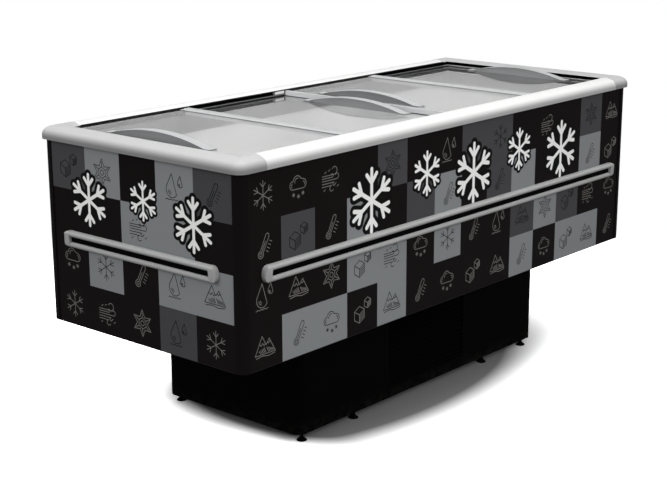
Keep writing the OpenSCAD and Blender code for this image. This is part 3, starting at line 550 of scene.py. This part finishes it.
FINISHES = {
    "cladding": printed_cladding(),
    "black_trim": painted_sheet("black_corner_paint", rgb(17, 15, 15), 0.4, 0.06),
    "white_profile": top_profile(),
    "cap_grey": end_cap_plastic(),
    "rail_grey": extruded("grey_bumper_rail", rgb(163, 164, 163), 0.42),
    "black_plastic": moulded("black_insert", rgb(4, 4, 4), 0.6, gloss=0.03),
    "liner_white": liner_sheet("tub_liner_sheet", rgb(220, 220, 220), rgb(228, 228, 228)),
    "collar_grey": liner_sheet("collar_sheet", rgb(104, 104, 104), rgb(114, 114, 114)),
    "foam": insulation_foam(),
    "galvanised": galvanised_steel(),
    "plinth_black": painted_sheet("black_plinth_paint", rgb(4, 4, 4), 0.5, 0.02),
    "copper": copper_tube(),
    "aluminium_fin": fin_stack(),
    "shell_black": compressor_enamel(),
    "rubber_black": rubber("black_rubber", rgb(22, 22, 22)),
    "white_plastic": moulded("white_plastic", rgb(228, 228, 226), 0.4),
    "glass": lid_glass(),
    "lid_trim": moulded("lid_edge_trim", rgb(204, 205, 206), 0.34),
    "handle_grey": handle_plastic(),
}
SLOT_OF = {part["node"]: part["material_slot"] for part in frame["record"]["subparts"]}
LIDS = ("left_outer", "left_inner", "right_inner", "right_outer")
UPPER_LIDS = ("left_outer", "right_inner")


def trim_finish(node):
    """The edge profile's finish for one lid. An upper lid laps the next one at
    its high end along X, and a lower lid at its low end."""
    low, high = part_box(node)
    name = "edge_of_" + node
    if node.removeprefix("trim_") in UPPER_LIDS:
        return edge_profile(name, [low.x + CLOSE_PROFILE], [high.x, high.x - LAP_LINE])
    return edge_profile(name, [high.x - CLOSE_PROFILE], [low.x + LAP_LINE])


def finish_cad_nodes():
    """Gives each CAD node the finish of its slot. Each lid's profile and the
    bottom pan have their own."""
    for name, node in NODES.items():
        finish = FINISHES[SLOT_OF[name]]
        if SLOT_OF[name] == "lid_trim":
            finish = trim_finish(name)
        elif name == "tub_bottom_pan":
            finish = bottom_pan()
        node.data.materials.clear()
        node.data.materials.append(finish)


finish_cad_nodes()


# ------------------------------------------------------------------ pieces

def add_piece(name, mesh, body, slot, finish=None):
    """A new piece that rides on a body, with the finish of a slot or one of its own."""
    piece = bpy.data.objects.new(name, mesh)
    bpy.context.scene.collection.objects.link(piece)
    mesh.materials.clear()
    mesh.materials.append(finish or FINISHES[slot])
    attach(piece, body)
    return piece


def mesh_from(bm, name, smooth_below=32):
    """Turns a bmesh into a mesh that is smooth but for its sharp edges."""
    for face in bm.faces:
        face.smooth = True
    for edge in bm.edges:
        bend = edge.calc_face_angle(None)
        edge.smooth = bend is not None and bend < math.radians(smooth_below)
    mesh = bpy.data.meshes.new(name)
    bm.to_mesh(mesh)
    bm.free()
    return mesh


# Faces that bend less than FLAT are one face, and edges that bend more than
# SHARP are rounded over. Points nearer than SAME_POINT are one point.
FLAT = math.radians(0.3)
SHARP = math.radians(38)
SAME_POINT = 0.002 * MM


def soften(node, width, segments=2):
    """Stands a copy of a CAD node in its place, with its edges rounded over."""
    bm = bmesh.new()
    bm.from_mesh(NODES[node].data)
    bmesh.ops.remove_doubles(bm, verts=bm.verts, dist=SAME_POINT)
    bmesh.ops.dissolve_limit(bm, angle_limit=FLAT, verts=bm.verts, edges=bm.edges)
    name = "rounded_" + node
    finish = NODES[node].data.materials[0]
    piece = add_piece(name, mesh_from(bm, name), NODES[node]["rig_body"], SLOT_OF[node], finish)
    bevel = piece.modifiers.new("rounded edges", "BEVEL")
    bevel.width = width
    bevel.segments = segments
    bevel.limit_method = "ANGLE"
    bevel.angle_limit = SHARP
    bevel.harden_normals = True
    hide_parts(node)


def round_over_edges():
    """Takes the sharp edges off the pieces that show."""
    for end in ("end_cap_left", "end_cap_right", "profile_front", "profile_back"):
        soften("frame_" + end, 0.7 * MM)
    for side in ("front", "back", "left", "right"):
        soften("bumper_rail_" + side, 1.2 * MM, 3)
    soften("bumper_end_caps", 1.2 * MM, 3)
    soften("corner_trims", 0.5 * MM)
    for lid in LIDS:
        soften("handle_" + lid, 0.9 * MM, 3)
        soften("trim_" + lid, 0.25 * MM)


round_over_edges()


def add_lap_bands():
    """A pale band on the glass of the upper lids beside their lap, with a dark line at
    its outer edge."""
    width = 22 * MM
    half_length = 320 * MM
    lift = 0.12 * MM
    for lid in UPPER_LIDS:
        low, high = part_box("glass_" + lid)
        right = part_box("trim_" + lid)[1].x - LAP_PROFILE
        left = right - width
        middle = Matrix.Translation(((left + right) / 2, (low.y + high.y) / 2, high.z + lift))
        size = Matrix.Diagonal((width / 2, half_length, 1, 1))
        bm = bmesh.new()
        bmesh.ops.create_grid(bm, x_segments=1, y_segments=1, size=1, matrix=middle @ size)
        name = "lap_band_" + lid
        finish = edge_profile("band_of_" + lid, [], [left, left + 2 * MM])
        add_piece(name, mesh_from(bm, name), "lid_" + lid, "lid_trim", finish)


add_lap_bands()


# ------------------------------------------------------------------ print

# How far the print stands off its panel, and how far its strokes and lines lie
# above each other, so that none of them share a plane.
PRINT_LIFT = 0.15 * MM
STROKE_STEP = 0.0015 * MM
LINE_STEP = 0.004 * MM
LINE_WIDTH = 2.1 * MM
MOTIF_REACH = 38 * MM
CLEAR_OF_FLAKE = 12 * MM


def turned(point, degrees):
    angle = math.radians(degrees)
    x, y = point
    return (x * math.cos(angle) - y * math.sin(angle), x * math.sin(angle) + y * math.cos(angle))


def arc(centre, radius, angles):
    """Points on a circle, at these angles in degrees from the X axis."""
    x, y = centre
    radians = [math.radians(angle) for angle in angles]
    return [(x + radius * math.cos(angle), y + radius * math.sin(angle)) for angle in radians]


def between_points(a, b, part):
    return (a[0] + (b[0] - a[0]) * part, a[1] + (b[1] - a[1]) * part)


def snow_crystal():
    """Three bars, each with a pair of barbs at either end. Every motif is a list
    of lines and fits a square from -1 to 1."""
    bars = [[turned((0, -1), 60 * k), turned((0, 1), 60 * k)] for k in range(3)]
    barbs = [(-0.24, 0.84), (0, 0.56), (0.24, 0.84)]
    return bars + [[turned(point, 60 * k) for point in barbs] for k in range(6)]


def star_crystal():
    """A six-pointed outline round two small hexagons and their spokes."""
    outline = [turned((0, 1 if k % 2 == 0 else 0.52), 30 * k) for k in range(13)]
    cores = [[turned((0, reach), 60 * k) for k in range(7)] for reach in (0.2, 0.42)]
    spokes = [[turned((0, 0.42), 60 * k), turned((0, 0.78), 60 * k)] for k in range(6)]
    return [outline] + cores + spokes


def ice_cubes():
    """Two cubes seen from a corner, each with one shaded side."""
    def cube(cx, cy, size):
        corners = [turned((0, 1), 60 * k) for k in range(7)]
        ring = [(cx + x * size, cy + y * size) for x, y in corners]
        middle = (cx, cy)
        spokes = [[middle, ring[k]] for k in (1, 3, 5)]
        hatch = [[between_points(middle, ring[3], part), between_points(ring[5], ring[4], part)]
                 for part in (0.25, 0.5, 0.75)]
        return [ring] + spokes + hatch
    return cube(-0.34, -0.24, 0.64) + cube(0.58, 0.5, 0.42)


def cold_drop():
    """A large and a small drop, each with highlights, and a ripple below."""
    def drop(cx, cy, size):
        tip = (0, 1.25)
        bowl = arc((0, 0), 0.62, range(-34, -217, -14))
        shines = [arc((0, 0), reach, range(190, 255, 16)) for reach in (0.24, 0.4)]
        lines = [[tip] + bowl + [tip]] + shines
        return [[(cx + x * size, cy + y * size) for x, y in line] for line in lines]
    ripple = [(-0.85 + 0.17 * k, -0.92 + 0.06 * (k % 2)) for k in range(8)]
    return drop(-0.22, -0.2, 0.9) + drop(0.62, 0.32, 0.42) + [ripple]


def wind_lines():
    """Curling breaths of cold air, with flurries between them."""
    def breath(y, length, curl):
        return [(-0.95, y)] + arc((length, y + curl), curl, range(-90, 151, 30))
    flakes = ((-0.6, 0.5), (-0.2, 0.6), (0.45, -0.42), (0.7, -0.6), (-0.7, -0.75))
    flurries = [[(x - 0.08, y - 0.05), (x + 0.08, y + 0.05)] for x, y in flakes]
    return [breath(0.25, 0.35, 0.28), breath(0.08, 0.1, 0.12), breath(-0.1, 0.6, 0.2),
            breath(-0.3, 0.3, -0.12), breath(-0.5, 0.05, -0.2)] + flurries


def frozen_peaks():
    """Two peaks with snow lines, shaded flanks and a foot line."""
    ridge = [(-1, -0.6), (-0.3, 0.7), (0.08, 0.02), (0.4, 0.42), (1, -0.6), (-1, -0.6)]
    snow = [(-0.58, 0.18), (-0.4, 0.02), (-0.26, 0.2), (-0.12, 0.0), (0.02, 0.13)]
    second = [(0.22, 0.2), (0.34, 0.08), (0.44, 0.2), (0.56, 0.14)]
    flanks = [[(x, -0.12 - 0.3 * abs(x)), (x + 0.16, -0.5)]
              for x in (-0.62, -0.48, -0.35, -0.22, -0.1, 0.15, 0.28, 0.42, 0.55, 0.68)]
    foot = [(-0.9, -0.78), (-0.3, -0.7), (0.3, -0.8), (0.95, -0.72)]
    return [ridge, snow, second, foot] + flanks


def thermometer():
    """A leaning tube and bulb beside a scale."""
    middle = (0, -0.62)
    bulb = arc(middle, 0.26, range(-235, 56, 29))
    tube = bulb + [(0.17, 0.78), (0.08, 0.92), (-0.08, 0.92), (-0.17, 0.78), bulb[0]]
    core = arc(middle, 0.12, range(-90, 271, 45))
    column = [(0, -0.5), (0, 0.35)]
    scale = [[(0.36, y), (0.6, y)] for y in (-0.2, 0.05, 0.3, 0.55)]
    return [[turned(point, -28) for point in line] for line in [tube, core, column] + scale]


def snow_cloud():
    """A folded cloud over three small crystals."""
    def puff(x, y, radius, start, end):
        return arc((x, y), radius, range(start, end - 1, -24))
    outline = (puff(-0.52, 0.14, 0.3, 250, 106) + puff(-0.08, 0.36, 0.42, 170, 26)
               + puff(0.52, 0.16, 0.32, 80, -88))
    folds = [puff(-0.5, 0.12, 0.16, 230, 110), puff(-0.06, 0.34, 0.26, 190, 60),
             puff(0.52, 0.14, 0.17, 90, -40)]
    stars = [arc(middle, 0.13, (angle + 180, angle))
             for middle in ((-0.45, -0.52), (0.05, -0.68), (0.5, -0.5)) for angle in (0, 60, 120)]
    return [outline + [outline[0]]] + folds + stars


MOTIFS = [snow_crystal(), ice_cubes(), cold_drop(), snow_cloud(), star_crystal(), thermometer(),
          wind_lines(), frozen_peaks()]


def draw_line(bm, points, width, place, round_steps):
    """A flat ribbon through the points, with round ends and joints. Each stroke
    lies a hair above the one before."""
    for k, (start, end) in enumerate(zip(points, points[1:])):
        run = Vector(end) - Vector(start)
        middle = ((Vector(start) + Vector(end)) / 2).to_3d() + Vector((0, 0, k * STROKE_STEP))
        turn = Matrix.Rotation(math.atan2(run.y, run.x), 4, "Z")
        size = Matrix.Diagonal((run.length / 2, width / 2, 1, 1))
        where = place @ Matrix.Translation(middle) @ turn @ size
        bmesh.ops.create_grid(bm, x_segments=1, y_segments=1, size=1, matrix=where)
    for k, point in enumerate(points):
        spot = Vector(point).to_3d() + Vector((0, 0, (len(points) + k) * STROKE_STEP))
        bmesh.ops.create_circle(bm, cap_ends=True, segments=round_steps, radius=width / 2,
                                matrix=place @ Matrix.Translation(spot))


def draw_motif(bm, lines, centre, size, width, place, round_steps=8):
    for k, line in enumerate(lines):
        points = [(centre[0] + x * size, centre[1] + y * size) for x, y in line]
        layer = place @ Matrix.Translation((0, 0, k * LINE_STEP))
        draw_line(bm, points, width, layer, round_steps)


def face_matrix(origin, right, outward):
    """Drawing plane on a face: x to the right, y up, z outward."""
    across = Vector(right)
    out = Vector(outward)
    rise = out.cross(across)
    turn = Matrix((across, rise, out)).transposed().to_4x4()
    return Matrix.Translation(origin) @ turn


def printed_face(side, right, outward, columns, tile, first, flakes):
    """The line motifs and the large snow crystals on one panel. Each flake has
    its place along the panel, its height and its reach."""
    low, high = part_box(side + "_panel")
    middle = (low + high) / 2
    out = Vector(outward)
    lift = abs(((high - low) / 2).dot(out)) + PRINT_LIFT
    place = face_matrix(Vector((middle.x, middle.y, 0)) + out * lift, right, outward)
    small = bmesh.new()
    for row in range(ROWS):
        for column in range(columns):
            centre = ((column + 0.5 - columns / 2) * tile, ROW_TOP - (row + 0.5) * TILE_RISE)
            if any(math.dist((x, y), centre) < reach + CLEAR_OF_FLAKE for x, y, reach in flakes):
                continue
            motif = MOTIFS[(3 * column + 5 * row + first + column * row) % len(MOTIFS)]
            draw_motif(small, motif, centre, MOTIF_REACH, LINE_WIDTH, place)
    add_piece("printed_motifs_" + side, mesh_from(small, side), "cabinet", "cladding", LINE_INK)
    for label, line_share, height, finish in LARGE_LAYERS:
        large = bmesh.new()
        raised = place @ Matrix.Translation((0, 0, height))
        for x, y, reach in flakes:
            size = reach * CRYSTAL_SHARE
            draw_motif(large, snow_crystal(), (x, y), size, reach * line_share, raised, 20)
        mesh = mesh_from(large, label + side)
        add_piece("printed_" + label + "_" + side, mesh, "cabinet", "cladding", finish)


LINE_INK = ink("line_ink", rgb(124, 120, 118), rgb(12, 12, 14), rgb(10, 11, 13))
HALO_INK = ink("halo_ink", *[rgb(6, 5, 5)] * 3)
WHITE_INK = ink("white_ink", *[rgb(250, 250, 249)] * 3)
# The layers of a large crystal: name, width of line as a share of its reach,
# height above the small motifs, and ink.
LARGE_LAYERS = [("halo", 0.34, 0.1 * MM, HALO_INK), ("crystal", 0.115, 0.2 * MM, WHITE_INK)]
CRYSTAL_SHARE = 0.84
LONG_FLAKES = [(-0.42, 0.70, 0.105), (-0.17, 0.735, 0.075), (0.06, 0.70, 0.105),
               (0.3, 0.735, 0.075), (0.54, 0.70, 0.105)]
END_FLAKES = [(-0.2, 0.705, 0.085), (0.02, 0.735, 0.062), (0.21, 0.70, 0.085)]
printed_face("front", (1, 0, 0), (0, -1, 0), TILES_LONG, TILE_LONG, 0, LONG_FLAKES)
printed_face("back", (-1, 0, 0), (0, 1, 0), TILES_LONG, TILE_LONG, 3, LONG_FLAKES)
printed_face("left", (0, -1, 0), (-1, 0, 0), TILES_END, TILE_END, 1, END_FLAKES)
printed_face("right", (0, 1, 0), (1, 0, 0), TILES_END, TILE_END, 4, END_FLAKES)


# ------------------------------------------------------------------ screws

def add_screws(name, points, outward, head, body, finish):
    """Pan-head screws with a round recess, on the given points."""
    bm = bmesh.new()
    out = Vector(outward)
    turn = Vector((0, 0, 1)).rotation_difference(out).to_matrix().to_4x4()
    for point in points:
        where = Matrix.Translation(point) @ turn
        geometry = bmesh.ops.create_cone(
            bm, cap_ends=True, segments=20, radius1=head / 2, radius2=head / 2 * 0.72,
            depth=head * 0.3, matrix=where @ Matrix.Translation((0, 0, head * 0.15)),
        )
        top = max(
            (face for vert in geometry["verts"] for face in vert.link_faces),
            key=lambda face: face.calc_center_median().dot(out),
        )
        bmesh.ops.inset_region(bm, faces=[top], thickness=head * 0.1, depth=head * 0.03)
        bmesh.ops.inset_region(bm, faces=[top], thickness=head * 0.08, depth=-head * 0.12)
    add_piece(name, mesh_from(bm, name), body, "galvanised", finish)


def plinth_screws():
    """Screws that hold the plinth's panels and grilles."""
    black = FINISHES["plinth_black"]
    head = 7 * MM
    for side, out in (("front", -1), ("back", 1)):
        low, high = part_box("plinth_panel_" + side)
        face = low.y if out < 0 else high.y
        inset = 14 * MM
        across = [low.x + inset + k * (high.x - low.x - 2 * inset) / 6 for k in range(7)]
        points = [(x, face, z) for x in across for z in (low.z + inset, high.z - inset)]
        grille_low, grille_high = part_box("grille_" + side)
        clear = [p for p in points if not grille_low.x - head < p[0] < grille_high.x + head]
        add_screws("screws_plinth_" + side, clear, (0, out, 0), head, "cabinet", black)
        rim = 7 * MM
        front = grille_low.y if out < 0 else grille_high.y
        corners = [(x, front, z) for x in (grille_low.x + rim, grille_high.x - rim)
                   for z in (grille_low.z + rim, grille_high.z - rim)]
        add_screws("screws_grille_" + side, corners, (0, out, 0), 6 * MM, "cabinet", black)


plinth_screws()


# ------------------------------------------------------------------ stage and light

# The painted shadow on the floor, an oval: its middle along X, its half lengths,
# and where its left end starts to draw in and how fast. It fades out between two
# shares of its size, and the whole floor between two distances from the middle, in metres.
OVAL_MIDDLE = -0.08
OVAL_REACH = (0.8, 0.4)
OVAL_END, OVAL_END_REACH = -0.45, 0.19
OVAL_FADE = (0.8, 1.7)
FLOOR_FADE = (1.3, 2.2)
FLOOR_REACH = 30
# The painted shadow's tone, the floor's brightness beyond it as the camera sees it, and its
# colour for bounced light.
SHADOW_PAINT_TONE, PALE_FLOOR, FLOOR_BOUNCE = 0.25, 4.0, 0.3


def add_floor():
    """A white floor that keeps the shadow, has a painted shadow round the plinth, and
    fades out to the background."""
    s = Shader("studio_floor")
    away = s.node("ShaderNodeVectorMath", {"operation": "LENGTH"}, {0: s.place}, output="Value")
    x, y = s.axes()[:2]
    along = (x - OVAL_MIDDLE) / OVAL_REACH[0]
    across = y / OVAL_REACH[1]
    past_end = (OVAL_END - x).at_least(0) / OVAL_END_REACH
    shadow_oval = along * along + across * across + past_end * past_end
    # Painted shadow: the floor is darker inside the oval round the plinth.
    shadow_paint = s.mix(shadow_oval.between(*OVAL_FADE), grey(SHADOW_PAINT_TONE), grey(PALE_FLOOR))
    seen = s.node("ShaderNodeBsdfDiffuse", None, {0: shadow_paint})
    bounce = s.node("ShaderNodeBsdfDiffuse", None, {0: grey(FLOOR_BOUNCE)})
    white = s.node("ShaderNodeEmission", None, {0: grey(1), 1: 1.0})
    camera_ray = s.node("ShaderNodeLightPath", output="Is Camera Ray")
    faded = s.node("ShaderNodeMixShader", None, {0: away.between(*FLOOR_FADE), 1: seen, 2: white})
    material = s.done(s.node("ShaderNodeMixShader", None, {0: camera_ray, 1: bounce, 2: faded}))
    bm = bmesh.new()
    bmesh.ops.create_grid(bm, x_segments=1, y_segments=1, size=FLOOR_REACH)
    floor = bpy.data.objects.new("floor", mesh_from(bm, "floor"))
    floor.data.materials.append(material)
    bpy.context.scene.collection.objects.link(floor)


def add_lamp(name, place, target, width, depth, power):
    """A soft box that points from one place to another and isn't seen in the glass."""
    data = bpy.data.lights.new(name, "AREA")
    data.shape = "RECTANGLE"
    data.size = width
    data.size_y = depth
    data.energy = power
    lamp = bpy.data.objects.new(name, data)
    lamp.visible_glossy = False
    bpy.context.scene.collection.objects.link(lamp)
    aim = (Vector(target) - Vector(place)).to_track_quat("-Z", "Y")
    lamp.matrix_world = Matrix.Translation(place) @ aim.to_matrix().to_4x4()


def add_world(ambient, gloss):
    """Even ambient light, a brighter sky for the gloss, and white for the camera
    and for what is seen through the glass."""
    world = bpy.data.worlds.new("studio")
    tree = NodeTree(world)
    level = ambient
    for ray, strength in (("Is Glossy Ray", gloss), ("Is Camera Ray", 1.0),
                          ("Is Transmission Ray", 1.0)):
        level = (tree.node("ShaderNodeLightPath", output=ray) * strength).at_least(level)
    sky = tree.node("ShaderNodeBackground", None, {0: grey(1), 1: level})
    tree.node("ShaderNodeOutputWorld", None, {0: sky})
    bpy.context.scene.world = world


add_floor()
add_lamp("overhead", (-0.2, -0.1, 3.6), (0, 0, 0), 3.4, 2.6, 57)
add_lamp("front", (-0.9, -4.0, 2.6), (0, 0, 0.5), 3.0, 2.0, 88)
add_lamp("side", (-4.0, 0.4, 2.4), (-0.9, 0, 0.5), 2.4, 2.0, 50)
add_world(0.34, 0.4)
bpy.context.scene.view_settings.view_transform = "Standard"
